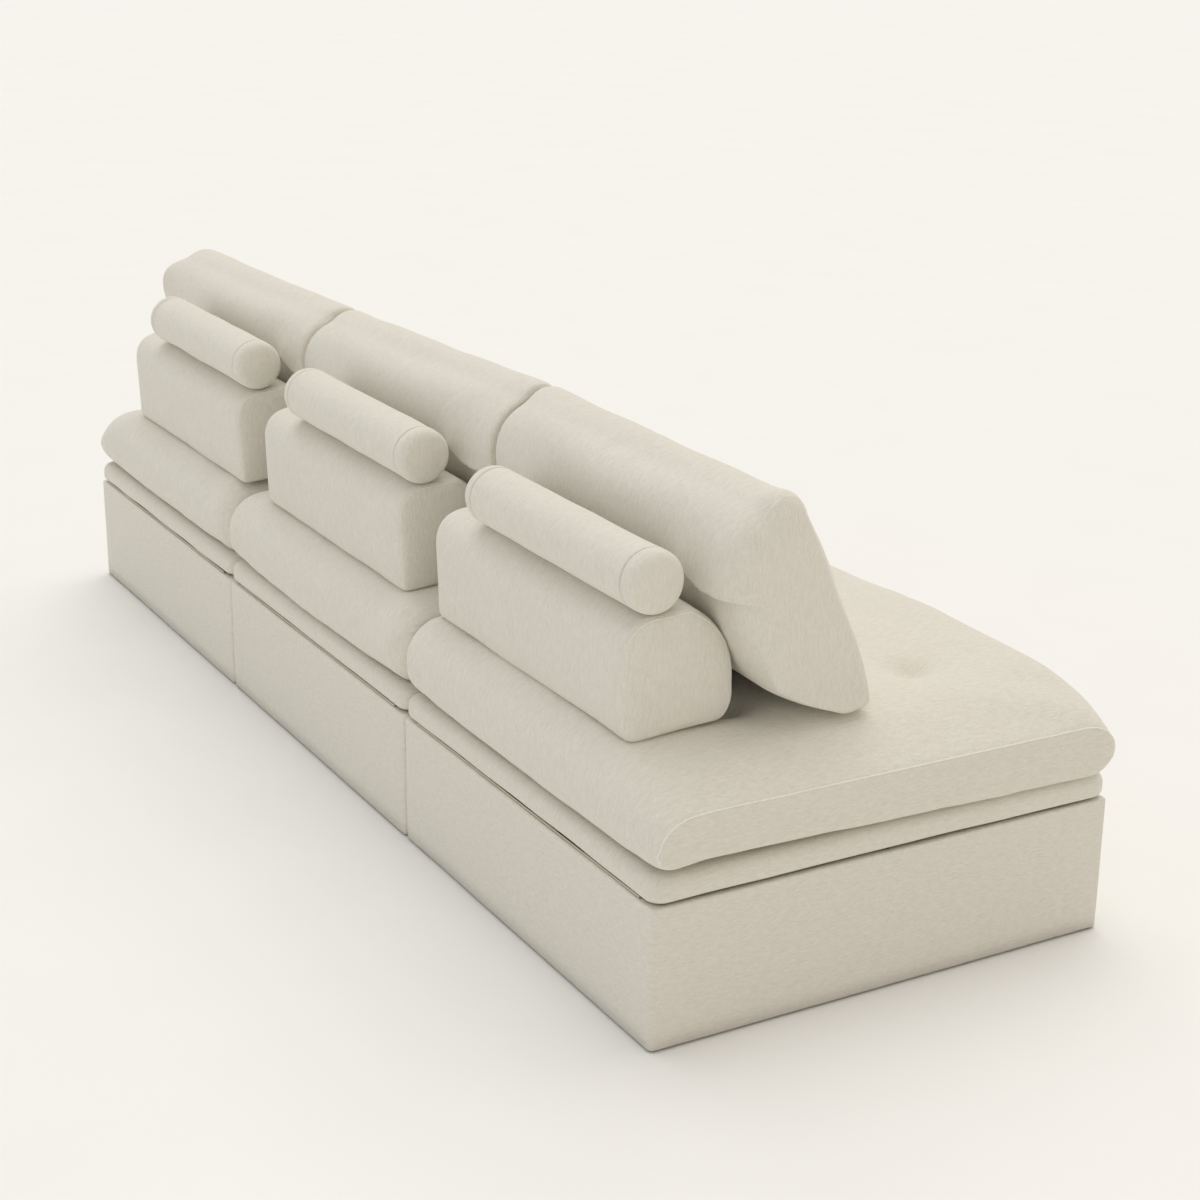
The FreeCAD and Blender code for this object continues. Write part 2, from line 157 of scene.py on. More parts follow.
rubber, _ = grained(
    "grey_rubber", roughness=0.6, scale=RUBBER_GRAIN, detail=3, twist=0,
    low=RUBBER_LOW, high=RUBBER_HIGH, relief=RUBBER_RELIEF,
)
hinge_zinc_shade, hinge_zinc_shade_shader = grained(
    "zinc_plate_gap_shade", roughness=0.45, scale=ZINC_BRUSHED, detail=4, twist=0.3,
    low=ZINC_GAP_SHADE_LOW, high=ZINC_GAP_SHADE_HIGH, relief=ZINC_RELIEF,
)
hinge_zinc_shade_shader.inputs["Metallic"].default_value = 1.0
coat, _ = grained(
    "black_powder_coat", roughness=0.5, scale=COAT_GRAIN, detail=2, twist=0,
    low=COAT_LOW, high=COAT_HIGH, relief=COAT_RELIEF,
)
for side in SIDES:
    dress(nodes[f"{side}_base_glides"], rubber)
    dress(nodes[f"{side}_lid_bumpers"], rubber)
    dress(nodes[f"{side}_hinge_base_leaf"], hinge_zinc_shade)
    dress(nodes[f"{side}_hinge_lid_leaf"], hinge_zinc_shade)
for links in ("left_link_pegs", "right_link_pegs", "middle_link_forks"):
    dress(nodes[links], coat)

# Base covers: a cream slub cloth, glued over thin foam and folded in over the
# rim of the box. The slubs run level round the base.
CLOTH_LIGHT = (0.795, 0.765, 0.685, 1)
CLOTH_DARK = (0.695, 0.655, 0.57, 1)
CLOTH_SPAN = (0.28, 0.62)
CLOTH_RELIEF = (0.75, 0.002)
CLOTH_ROUGH = 0.92
CLOTH_GLOSS = 0.2
CLOTH_SHEEN = 0.2
CLOTH_SHEEN_ROUGH = 0.5
SLUB_FINE = 270.0
SLUB_LONG = 60.0
SLUB_LAYERS = (1.0, 2.7)
SLUB_DETAIL = 2
SLUB_TWIST = 0.35
SLUBS_LEVEL = (SLUB_LONG, SLUB_LONG, SLUB_FINE)
SLUBS_DOWN = (SLUB_FINE, SLUB_LONG, SLUB_LONG)
SLUBS_UPRIGHT = (SLUB_LONG, SLUB_FINE, SLUB_LONG)
END_FACING = 0.7
COVER_CORNER = 0.010
COVER_EDGE = 0.004
COVER_RIM = 0.030
COVER_STEP = 0.03
COVER_THICK = 0.0028
COVER_PULL = 0.0015
COVER_PULL_SIZE = 0.18
JOIN = 1e-5


def sofa_cloth(name, side_grain, end_grain):
    # slubs follow side_grain, and end_grain on the faces that look along the row
    material, shader = new_material(name, CLOTH_ROUGH)
    shader.inputs["Specular IOR Level"].default_value = CLOTH_GLOSS
    shader.inputs["Sheen Weight"].default_value = CLOTH_SHEEN
    shader.inputs["Sheen Roughness"].default_value = CLOTH_SHEEN_ROUGH
    tree = material.node_tree
    place = tree.nodes.new("ShaderNodeTexCoord")
    split = tree.nodes.new("ShaderNodeSeparateXYZ")
    ends = tree.nodes.new("ShaderNodeMath")
    ends.operation = "ABSOLUTE"
    is_end = tree.nodes.new("ShaderNodeMath")
    is_end.operation = "GREATER_THAN"
    is_end.inputs[1].default_value = END_FACING
    tree.links.new(place.outputs["Normal"], split.inputs["Vector"])
    tree.links.new(split.outputs["X"], ends.inputs[0])
    tree.links.new(ends.outputs["Value"], is_end.inputs[0])
    choose = tree.nodes.new("ShaderNodeMix")
    choose.data_type = "VECTOR"
    tree.links.new(is_end.outputs["Value"], choose.inputs["Factor"])
    for scale, socket in ((side_grain, "A"), (end_grain, "B")):
        stretch = tree.nodes.new("ShaderNodeMapping")
        stretch.inputs["Scale"].default_value = scale
        tree.links.new(place.outputs["Object"], stretch.inputs["Vector"])
        sockets = [i for i in choose.inputs if i.name == socket and i.type == "VECTOR"]
        tree.links.new(stretch.outputs["Vector"], sockets[0])
    woven = [o for o in choose.outputs if o.type == "VECTOR"][0]
    layers = []
    for size in SLUB_LAYERS:
        pattern = tree.nodes.new("ShaderNodeTexNoise")
        pattern.inputs["Scale"].default_value = size
        pattern.inputs["Detail"].default_value = SLUB_DETAIL
        pattern.inputs["Distortion"].default_value = SLUB_TWIST
        tree.links.new(woven, pattern.inputs["Vector"])
        layers.append(pattern.outputs["Fac"])
    both = tree.nodes.new("ShaderNodeMix")
    both.inputs["Factor"].default_value = 0.5
    tree.links.new(layers[0], both.inputs["A"])
    tree.links.new(layers[1], both.inputs["B"])
    slubs = both.outputs["Result"]
    colour = ramp(material, slubs, CLOTH_DARK, CLOTH_LIGHT, CLOTH_SPAN)
    tree.links.new(colour, shader.inputs["Base Color"])
    bump(material, shader, slubs, *CLOTH_RELIEF)
    return material


def add_piece(name, bm, material):
    mesh = bpy.data.meshes.new(name)
    for piece_face in bm.faces:
        piece_face.smooth = True
    bm.to_mesh(mesh)
    bm.free()
    mesh.materials.append(material)
    piece = bpy.data.objects.new(name, mesh)
    bpy.context.scene.collection.objects.link(piece)
    return piece


def block_between(low, high):
    bm = bmesh.new()
    bmesh.ops.create_cube(bm, size=1)
    bmesh.ops.scale(bm, vec=high - low, verts=bm.verts)
    bmesh.ops.translate(bm, vec=(low + high) / 2, verts=bm.verts)
    return bm


def upright_edges(bm):
    def is_upright(e):
        run = e.verts[0].co - e.verts[1].co
        return abs(run.z) > 0.999 * run.length
    return [e for e in bm.edges if is_upright(e)]


def edges_at_height(bm, z):
    return [e for e in bm.edges if all(abs(v.co.z - z) < JOIN for v in e.verts)]


def round_edges(bm, edges, radius, segments):
    bmesh.ops.bevel(
        bm, geom=edges, offset=radius, segments=segments, profile=0.5,
        affect="EDGES", material=-1,
    )


def cut_up(bm, low, high, step, axes):
    # level cuts across the axes, about a step apart, so that the skin can bend
    for axis in axes:
        span = high[axis] - low[axis]
        steps = int(span / step)
        across = Vector((0, 0, 0))
        across[axis] = 1
        for k in range(1, steps):
            at = low + across * (span * k / steps)
            skin = bm.verts[:] + bm.edges[:] + bm.faces[:]
            bmesh.ops.bisect_plane(bm, geom=skin, plane_co=at, plane_no=across)


base_cloth = sofa_cloth("base_cloth", SLUBS_LEVEL, SLUBS_LEVEL)
for number, side in enumerate(SIDES):
    low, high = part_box(f"{side}_base_cover")
    bm = block_between(low, high)
    round_edges(bm, upright_edges(bm), COVER_CORNER, 5)
    flat = [f for f in bm.faces if abs(f.normal.z) > 0.9]
    bmesh.ops.delete(bm, geom=flat, context="FACES_ONLY")
    made = bmesh.ops.extrude_edge_only(bm, edges=edges_at_height(bm, high.z))["geom"]
    middle = (low + high) / 2
    inner = (high - low) / 2 - Vector((COVER_RIM, COVER_RIM, 0))
    for v in [g for g in made if isinstance(g, bmesh.types.BMVert)]:
        v.co.x = middle.x + max(-inner.x, min(inner.x, v.co.x - middle.x))
        v.co.y = middle.y + max(-inner.y, min(inner.y, v.co.y - middle.y))
    bmesh.ops.remove_doubles(bm, verts=bm.verts, dist=JOIN)
    paired = [e for e in edges_at_height(bm, high.z) if len(e.link_faces) == 2]
    rim = [e for e in paired if abs(e.link_faces[0].normal.z - e.link_faces[1].normal.z) > 0.5]
    round_edges(bm, rim, COVER_EDGE, 4)
    cut_up(bm, low, high, COVER_STEP, (0, 1, 2))
    bmesh.ops.recalc_face_normals(bm, faces=bm.faces)
    bm.normal_update()
    for v in bm.verts:
        pull = noise.noise(v.co / COVER_PULL_SIZE + Vector((number, 0, 0)))
        v.co -= v.normal * COVER_PULL * abs(pull)
    cover = add_piece(f"{side}_base_cloth", bm, base_cloth)
    thick = cover.modifiers.new("cloth", "SOLIDIFY")
    thick.thickness = COVER_THICK
    thick.offset = -1
    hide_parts(f"{side}_base_cover")
    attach(cover, f"{side}_base")

# Lids: a plywood board let into a padded slab, covered in the same cloth, which
# is tucked in round the board. The edge is rolled, and the lid lies on the bumpers.
LID_CORNER = 0.030
LID_TOP_ROLL = 0.020
LID_LOW_ROLL = 0.013
LID_STEP = 0.03
LID_TUCK = 0.003
LID_WAVE = (0.14, 0.0022, 0)
lid_cloth = sofa_cloth("lid_cloth", SLUBS_DOWN, SLUBS_LEVEL)


def uneven(piece, wave, number):
    # the soft unevenness of stuffed cloth, out along the surface; a wave has a
    # size, a depth and a seed, and each module starts from its own number
    size, depth, seed = wave
    shift = Vector((1, 1, 1)) * (seed + number)
    normals = [v.normal.copy() for v in piece.data.vertices]
    for v, out in zip(piece.data.vertices, normals):
        v.co += out * depth * noise.noise(v.co / size + shift)


for number, side in enumerate(SIDES):
    dress(nodes[f"{side}_lid_board"], plywood)
    low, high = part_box(f"{side}_lid_pad")
    board_low, board_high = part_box(f"{side}_lid_board")
    bm = block_between(low, high)
    round_edges(bm, upright_edges(bm), LID_CORNER, 8)
    round_edges(bm, edges_at_height(bm, high.z), LID_TOP_ROLL, 6)
    round_edges(bm, edges_at_height(bm, low.z), LID_LOW_ROLL, 5)
    cut_up(bm, low, high, LID_STEP, (0, 1))
    pad = add_piece(f"{side}_lid_slab", bm, lid_cloth)
    uneven(pad, LID_WAVE, number)
    for v in pad.data.vertices:
        v.co.z = min(max(v.co.z, low.z), high.z)
        if all(board_low[k] < v.co[k] < board_high[k] for k in (0, 1)):
            v.co.z = max(v.co.z, low.z + LID_TUCK)
    soft = pad.modifiers.new("soft", "SUBSURF")
    soft.levels = 1
    soft.render_levels = 1
    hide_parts(f"{side}_lid_pad")
    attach(pad, f"{side}_lid")

# Cores: blocks of upholstery foam, cut to shape and slipped into the covers of
# the four loose pieces of each module. They never show.
FOAM_LOW = (0.62, 0.55, 0.36, 1)
FOAM_HIGH = (0.78, 0.72, 0.52, 1)
FOAM_CELLS = (420, 420, 420)
FOAM_SPAN = (0.35, 0.6)
FOAM_RELIEF = (0.6, 0.002)
foam, _ = grained(
    "foam", roughness=0.95, scale=FOAM_CELLS, detail=4, twist=0,
    low=FOAM_LOW, high=FOAM_HIGH, span=FOAM_SPAN, relief=FOAM_RELIEF,
)
for side in SIDES:
    for core in ("seat_core", "block_core", "bolster_core", "back_core"):
        dress(nodes[f"{side}_{core}"], foam)

# Seat cushions: a foam core in a sewn cloth cover, crowned, pulled down by four
# blind tufts, with a seam along each free end. They lie loose on the lids.
SEAT_CROWN = 0.010
SEAT_SLOPE = 0.200
SEAT_WIDEST = 0.42
NOSE_LOW = 0.044
NOSE_TOP = 0.060
NOSE_BOW = 0.2
FREE_END = (0.059, 0.200)
INNER_END = (0.022, 0.070)
END_CURVE = 1.8
END_CROWN_LOSS = 0.9
END_TUCK = 0.6
END_LIFT = 0.014
END_DRAW = 0.024
FRONT_LIFT = 0.2
FRONT_DRAW = 0.5
TUFT_X = 0.219
TUFT_Y = 0.190
TUFTS = [(x, y) for x in (-TUFT_X, TUFT_X) for y in (-TUFT_Y, TUFT_Y)]
TUFT_DEPTH = 0.024
TUFT_PIT = 0.034
TUFT_DISH = 0.013
TUFT_SPREAD = 0.10
CORNER_SAG = 0.014
CORNER_OUT = 0.007
CORNER_REACH = 0.060
FRONT_RISE = 0.015
FRONT_RISE_Y = -0.38
FRONT_RISE_LONG = 0.22
FRONT_RISE_DEEP = 0.10
SEAT_STEP = 0.022
SEAT_SWELL = 0.006
SEAT_WAVES = ((0.16, 0.002, 10), (0.06, 0.0014, 15))
PANEL_ROWS = 5
EASE_SEARCH = 0.004
EASE_ROUNDS = 12
CLOTH_FRAMES = 14
PRESSURE = 1.5
SLACK = 0.3
HELD = 0.004
SEAM_R = 0.0014
SEAM_SEARCH = 0.05
SEAM_BELOW = 0.02
SEAT_SEAM_FOOT = 0.030
YARN_DARK = (0.82, 0.79, 0.72, 1)
YARN_LIGHT = (0.90, 0.875, 0.81, 1)
YARN_TWIST = (300, 300, 300)


def bowed(corners, counts):
    # corners: (across, up, bow); a bow pushes the edge that leaves a corner outward
    points = []
    for i, (y, z, bow) in enumerate(corners):
        y2, z2, _ = corners[(i + 1) % len(corners)]
        across = y2 - y
        up = z2 - z
        for k in range(counts[i]):
            t = k / counts[i]
            out = 4 * bow * t * (1 - t) / math.hypot(across, up)
            points.append((y + across * t + out * up, z + up * t - out * across))
    return points


def edge_counts(corners, step):
    counts = []
    for i, (y, z, bow) in enumerate(corners):
        y2, z2, _ = corners[(i + 1) % len(corners)]
        counts.append(max(2, round((math.hypot(y2 - y, z2 - z) + abs(bow)) / step)))
    return counts


def ring_at(x, points):
    return [Vector((x, y, z)) for y, z in points]


def rings_between(x0, x1, step, points):
    steps = round((x1 - x0) / step)
    return [ring_at(x0 + (x1 - x0) * k / steps, points) for k in range(steps + 1)]


def end_panel(bm, ring, split):
    # rungs between the two halves of the ring; the edges of the rungs are returned
    half = len(ring) // 2
    turned = ring[split:] + ring[:split]
    one = turned[1:half]
    two = turned[half + 1:][::-1]
    bm.faces.new((turned[0], one[0], two[0]))
    bm.faces.new((turned[half], two[-1], one[-1]))
    for k in range(len(one) - 1):
        bm.faces.new((one[k], one[k + 1], two[k + 1], two[k]))
    return [bm.edges.get(pair) for pair in zip(one, two)]


def stuffed(rings, split, sewn):
    # one skin through the rings, each extruded from the one before it; the seam
    # runs along the ring that is sewn steps in from each end
    bm = bmesh.new()
    seam = bm.verts.layers.float.new("seam")
    loop = [bm.verts.new(p) for p in rings[0]]
    edges = [bm.edges.new((loop[i - 1], loop[i])) for i in range(len(loop))]
    first = loop
    for ring in rings[1:]:
        places = {tuple(round(c, 6) for c in v.co): k for k, v in enumerate(loop)}
        made = bmesh.ops.extrude_edge_only(bm, edges=edges)["geom"]
        loop = [None] * len(ring)
        for v in [g for g in made if isinstance(g, bmesh.types.BMVert)]:
            k = places[tuple(round(c, 6) for c in v.co)]
            v.co = ring[k]
            loop[k] = v
        edges = [bm.edges.get((loop[i - 1], loop[i])) for i in range(len(loop))]
    rungs = end_panel(bm, first, split) + end_panel(bm, loop, split)
    bmesh.ops.subdivide_edges(bm, edges=rungs, cuts=PANEL_ROWS, use_grid_fill=True)
    stitched = {tuple(round(c, 5) for c in p) for p in rings[sewn] + rings[-1 - sewn]}
    for v in bm.verts:
        v[seam] = float(tuple(round(c, 5) for c in v.co) in stitched)
    bmesh.ops.recalc_face_normals(bm, faces=bm.faces)
    return bm


def swell(piece, held, reach):
    # stuffing: the skin starts a little small and is blown out as cloth, up to reach
    mesh = piece.data
    group = piece.vertex_groups.new(name="held")
    kept = {v.index for v in mesh.vertices if held(v.co)}
    group.add(sorted(kept), 1.0, "REPLACE")
    normals = [v.normal.copy() for v in mesh.vertices]
    for v in mesh.vertices:
        if v.index not in kept:
            v.co = v.co - normals[v.index] * reach * SLACK
    slack = [v.co.copy() for v in mesh.vertices]
    cloth = piece.modifiers.new("stuffing", "CLOTH")
    cloth.settings.quality = 3
    cloth.settings.mass = 0.3
    cloth.settings.tension_stiffness = 15
    cloth.settings.compression_stiffness = 15
    cloth.settings.shear_stiffness = 8
    cloth.settings.bending_stiffness = 6
    cloth.settings.use_pressure = True
    cloth.settings.uniform_pressure_force = PRESSURE
    cloth.settings.vertex_group_mass = "held"
    cloth.settings.effector_weights.gravity = 0
    cloth.collision_settings.use_collision = False
    scene = bpy.context.scene
    for step in range(1, CLOTH_FRAMES + 1):
        scene.frame_set(step)
    blown = piece.evaluated_get(bpy.context.evaluated_depsgraph_get()).data
    found = [v.co.copy() for v in blown.vertices]
    piece.modifiers.remove(cloth)
    scene.frame_set(1)
    for v, was, now in zip(mesh.vertices, slack, found):
        move = now - was
        if move.length > reach:
            move = move * (reach / move.length)
        v.co = was + move
    piece.vertex_groups.remove(group)
    mesh.update()


def refined(piece):
    # the same skin with each face cut in four and rounded, so that folds fit
    soft = piece.modifiers.new("soft", "SUBSURF")
    soft.levels = 1
    soft.render_levels = 1
    shown = piece.evaluated_get(bpy.context.evaluated_depsgraph_get())
    cut = bpy.data.meshes.new_from_object(shown)
    piece.modifiers.remove(soft)
    piece.data = cut


def eased(piece, x0, x1):
    # the two end panels with the pinches at the ends of their rungs smoothed out
    bm = bmesh.new()
    bm.from_mesh(piece.data)
    flat = [v for v in bm.verts if min(abs(v.co.x - x0), abs(v.co.x - x1)) < EASE_SEARCH]
    for _ in range(EASE_ROUNDS):
        bmesh.ops.smooth_vert(
            bm, verts=flat, factor=0.5, use_axis_x=True, use_axis_y=True, use_axis_z=True
        )
    bm.to_mesh(piece.data)
    bm.free()


def hump(*offsets):
    # 1 where the offsets are nil, falling off smoothly as they grow
    return math.exp(-sum(off ** 2 for off in offsets))


def seam_thread(name, piece, end_x, thick, low_z):
    # the sewn line round an end panel, as a fine raised cord where it is above low_z
    marks = piece.data.attributes["seam"].data
    line = [v.co.copy() for v in piece.data.vertices
            if marks[v.index].value > 0.99 and abs(v.co.x - end_x) < SEAM_SEARCH]
    upper = [p for p in line if p.z > low_z]
    middle_y = sum(p.y for p in upper) / len(upper)
    upper.sort(key=lambda p: math.atan2(p.z - low_z + SEAM_BELOW, p.y - middle_y))
    curve = bpy.data.curves.new(name, "CURVE")
    curve.dimensions = "3D"
    curve.bevel_depth = thick
    curve.bevel_resolution = 2
    run = curve.splines.new("POLY")
    run.points.add(len(upper) - 1)
    for point, p in zip(run.points, upper):
        point.co = (p.x, p.y, p.z, 1)
    shape = bpy.data.objects.new(name, curve)
    mesh = bpy.data.meshes.new_from_object(shape)
    bpy.data.objects.remove(shape)
    for polygon in mesh.polygons:
        polygon.use_smooth = True
    mesh.materials.append(thread_yarn)
    thread = bpy.data.objects.new(name, mesh)
    bpy.context.scene.collection.objects.link(thread)
    return thread


def seat_corners(low, high, drop, left, lift, draw):
    # left: how much of the way to the middle is left; lift and draw tuck the foot in
    half = high.y - draw
    front = high.y - draw * FRONT_DRAW
    foot = low.z + lift
    front_foot = low.z + lift * FRONT_LIFT
    crown = SEAT_CROWN * (1 - END_CROWN_LOSS * left)
    top = high.z - SEAT_CROWN - drop * left
    ridge = half - NOSE_TOP - SEAT_SLOPE
    wide = foot + (top - foot) * SEAT_WIDEST
    front_wide = front_foot + (top - front_foot) * SEAT_WIDEST
    low_bow = NOSE_BOW * math.hypot(NOSE_LOW, wide - foot)
    top_bow = NOSE_BOW * math.hypot(NOSE_TOP, top - wide)
    return [
        (-front + NOSE_LOW, front_foot, 0),
        (half - NOSE_LOW, foot, low_bow),
        (half, wide, top_bow),
        (half - NOSE_TOP, top, 0),
        (ridge, top + crown, 0),
        (-ridge, top + crown, 0),
        (-front + NOSE_TOP, top, top_bow),
        (-front, front_wide, low_bow),
    ]


def seat_end(low, high, x, way, end, counts):
    # rings that drop towards the end of the cushion, over the end's run
    drop, run = end
    rings = []
    steps = max(4, round(run / SEAT_STEP))
    for k in range(steps):
        part = k / steps
        left = (1 - part) ** END_CURVE
        tuck = max(0.0, 1 - part / END_TUCK) ** 2
        corners = seat_corners(low, high, drop, left, END_LIFT * tuck, END_DRAW * tuck)
        rings.append(ring_at(x + way * part * run, bowed(corners, counts)))
    return rings


thread_yarn, _ = grained(
    "thread_yarn", roughness=0.9, scale=YARN_TWIST, detail=2, twist=0,
    low=YARN_DARK, high=YARN_LIGHT,
)
seat_cloth = sofa_cloth("seat_cloth", SLUBS_DOWN, SLUBS_LEVEL)
for number, side in enumerate(SIDES):
    low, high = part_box(f"{side}_seat_cover")
    corners = seat_corners(low, high, 0, 0, 0, 0)
    counts = edge_counts(corners, SEAT_STEP)
    counts[0] = sum(counts[2:7]) - counts[1] - counts[7]
    near = FREE_END if side == "left" else INNER_END
    far = FREE_END if side == "right" else INNER_END
    free = {"left": low.x, "right": high.x}.get(side)
    first = seat_end(low, high, low.x, 1, near, counts)
    last = seat_end(low, high, high.x, -1, far, counts)
    points = bowed(corners, counts)
    body = rings_between(low.x + near[1], high.x - far[1], SEAT_STEP, points)
    bm = stuffed(first + body + last[::-1], counts[0] + counts[1], 0)
    seat = add_piece(f"{side}_seat_cushion", bm, seat_cloth)
    sole = low.z
    swell(seat, lambda p: p.z < sole + HELD, SEAT_SWELL)
    refined(seat)
    eased(seat, low.x, high.x)
    for wave in SEAT_WAVES:
        uneven(seat, wave, number)
    lid_low, lid_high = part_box(f"{side}_lid_board")
    tuft_x = (lid_low.x + lid_high.x) / 2
    waist = (low.z + high.z) / 2
    for v in seat.data.vertices:
        if free is not None:
            corner = hump(math.hypot(v.co.x - free, v.co.y - high.y) / CORNER_REACH)
            v.co.z -= CORNER_SAG * corner
            v.co.y += CORNER_OUT * corner
        upper = min(1.0, max(0.0, (v.co.z - waist) / (high.z - waist)))
        along = (v.co.x - tuft_x) / FRONT_RISE_LONG
        deep = (v.co.y - FRONT_RISE_Y) / FRONT_RISE_DEEP
        v.co.z += upper * FRONT_RISE * hump(along, deep)
        for x, y in TUFTS:
            away = math.hypot(v.co.x - tuft_x - x, v.co.y - y)
            if v.co.z > waist:
                v.co.z -= TUFT_DEPTH * hump(away / TUFT_PIT)
                v.co.z -= TUFT_DISH * hump(away / TUFT_SPREAD)
        v.co.z = max(v.co.z, sole)
    refined(seat)
    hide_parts(f"{side}_seat_cover")
    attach(seat, f"{side}_seat")
    if free is not None:
        thread = seam_thread(f"{side}_seat_seam", seat, free, SEAM_R, low.z + SEAT_SEAM_FOOT)
        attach(thread, f"{side}_seat")

# Back blocks: firm foam in a plain sewn cover, rounded at the rear and full in
# front. They stand loose on the slope behind the crown of the seat.
TILT = math.atan2(SEAT_CROWN, SEAT_SLOPE)
BLOCK_DEPTH = 0.203
BLOCK_HEIGHT = 0.202
BLOCK_REAR_FOOT = 0.405
BLOCK_FOOT_EDGE = 0.012
BLOCK_FOOT_BOW = 0.28 * BLOCK_FOOT_EDGE
BLOCK_REAR_EDGE = 0.054
BLOCK_REAR_BOW = 0.29 * BLOCK_REAR_EDGE
BLOCK_TOE = 0.87 * BLOCK_DEPTH
BLOCK_BROW = 0.63 * BLOCK_DEPTH
BLOCK_BROW_BOW = 0.13 * BLOCK_DEPTH
BLOCK_FRONT = 0.99 * BLOCK_DEPTH
BLOCK_FRONT_HIGH = 0.27 * BLOCK_HEIGHT
BLOCK_FRONT_BOW = 0.045 * BLOCK_DEPTH
BLOCK_END_ROLL = 0.020
BLOCK_EDGES = (0.008, 0.008, 0.014, 0.022, 0.022, 0.022, 0.018)
BLOCK_STEP = 0.016
BLOCK_SWELL = 0.004
BLOCK_HELD = 0.006
BLOCK_WAVE = (0.12, 0.002, 20)
ROLL_STEPS = 4
ROLL_SEWN = 2
BLOCK_SEAM_R = 0.0008
BLOCK_SEAM_DROP = 0.075


def block_point(foot_z, w, v, bow=0):
    # w in from the rear and v up, on the slope of the seat
    y = BLOCK_REAR_FOOT - w * math.cos(TILT) + v * math.sin(TILT)
    z = foot_z + w * math.sin(TILT) + v * math.cos(TILT)
    return (y, z, bow)


def block_corners(foot_z):
    return [
        block_point(foot_z, BLOCK_TOE, 0),
        block_point(foot_z, BLOCK_FOOT_EDGE, 0, BLOCK_FOOT_BOW),
        block_point(foot_z, 0, BLOCK_FOOT_EDGE),
        block_point(foot_z, 0, BLOCK_HEIGHT - BLOCK_REAR_EDGE, BLOCK_REAR_BOW),
        block_point(foot_z, BLOCK_REAR_EDGE, BLOCK_HEIGHT),
        block_point(foot_z, BLOCK_BROW, BLOCK_HEIGHT, BLOCK_BROW_BOW),
        block_point(foot_z, BLOCK_FRONT, BLOCK_FRONT_HIGH, BLOCK_FRONT_BOW),
    ]


def paired_counts(counts, spare):
    # the spare edge takes one more step where the ring would have an odd count
    if sum(counts) % 2:
        counts[spare] += 1
    return counts


def spread(values, counts):
    # one value for each point of the ring, from the values at its corners
    found = []
    for i, count in enumerate(counts):
        after = values[(i + 1) % len(values)]
        found += [values[i] + (after - values[i]) * k / count for k in range(count)]
    return found


def rolled_end(ring, x, way, roll, edges):
    # rings that turn the skin in over a rounded edge, up to the end panel
    centre = sum(ring, Vector()) / len(ring)
    rings = []
    for k in range(ROLL_STEPS):
        turn = math.radians(90) * k / ROLL_STEPS
        at = x + way * roll * (1 - math.cos(turn))
        share = 1 - math.sin(turn)
        closed = [p + (centre - p).normalized() * edge * share for p, edge in zip(ring, edges)]
        rings.append([Vector((at, p.y, p.z)) for p in closed])
    return rings


def rolled_block(points, x0, x1, near, far, step, split):
    # near and far: how far each end is rolled along the row, and in at each point
    ring = ring_at(0, points)
    first = rolled_end(ring, x0, 1, *near)
    last = rolled_end(ring, x1, -1, *far)
    body = rings_between(x0 + near[0], x1 - far[0], step, points)
    return stuffed(first + body + last[::-1], split, ROLL_SEWN)


block_cloth = sofa_cloth("block_cloth", SLUBS_DOWN, SLUBS_UPRIGHT)
for number, side in enumerate(SIDES):
    low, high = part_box(f"{side}_block_cover")
    corners = block_corners(low.z)
    counts = paired_counts(edge_counts(corners, BLOCK_STEP), 0)
    points = bowed(corners, counts)
    end = (BLOCK_END_ROLL, spread(BLOCK_EDGES, counts))
    bm = rolled_block(points, low.x, high.x, end, end, BLOCK_STEP, counts[0] // 2)
    block = add_piece(f"{side}_back_block", bm, block_cloth)
    sole = low.z + BLOCK_HELD
    swell(block, lambda p: p.z < sole + (BLOCK_REAR_FOOT - p.y) * math.tan(TILT), BLOCK_SWELL)
    refined(block)
    eased(block, low.x, high.x)
    uneven(block, BLOCK_WAVE, number)
    refined(block)
    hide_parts(f"{side}_block_cover")
    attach(block, f"{side}_block")
    seam_low = high.z - BLOCK_SEAM_DROP
    for end, end_x in (("near", low.x), ("far", high.x)):
        thread = seam_thread(f"{side}_block_{end}_seam", block, end_x, BLOCK_SEAM_R, seam_low)
        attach(thread, f"{side}_block")

# Bolsters: a firm roll in a cloth tube, closed by a cap at each end that is sewn
# on in a ring. They lie on the blocks and bear on the back cushions.
BOLSTER_EDGE = 0.024
BOLSTER_EDGE_STEPS = 6
BOLSTER_CAP = 0.004
BOLSTER_CAP_RINGS = (0.12, 0.35, 0.6, 0.82)
BOLSTER_SEAM = 0.038
BOLSTER_GROOVE = 0.0050
BOLSTER_GROOVE_WIDE = 0.0030
BOLSTER_GROOVE_SHAPE = (
    (2.2, 0), (1, -0.1), (0.5, 0.1), (0.2, 1), (-0.2, 1), (-0.5, 0.1), (-1, -0.1), (-2.2, 0),
)
BOLSTER_GROOVE_PAST = 3
BOLSTER_STEP = 0.012
BOLSTER_ROUND = 64
BOLSTER_WAVE = (0.09, 0.0015, 30)


def hoop(x, y, z, r):
    turns = [math.tau * k / BOLSTER_ROUND for k in range(BOLSTER_ROUND)]
    return [Vector((x, y + r * math.cos(a), z + r * math.sin(a))) for a in turns]


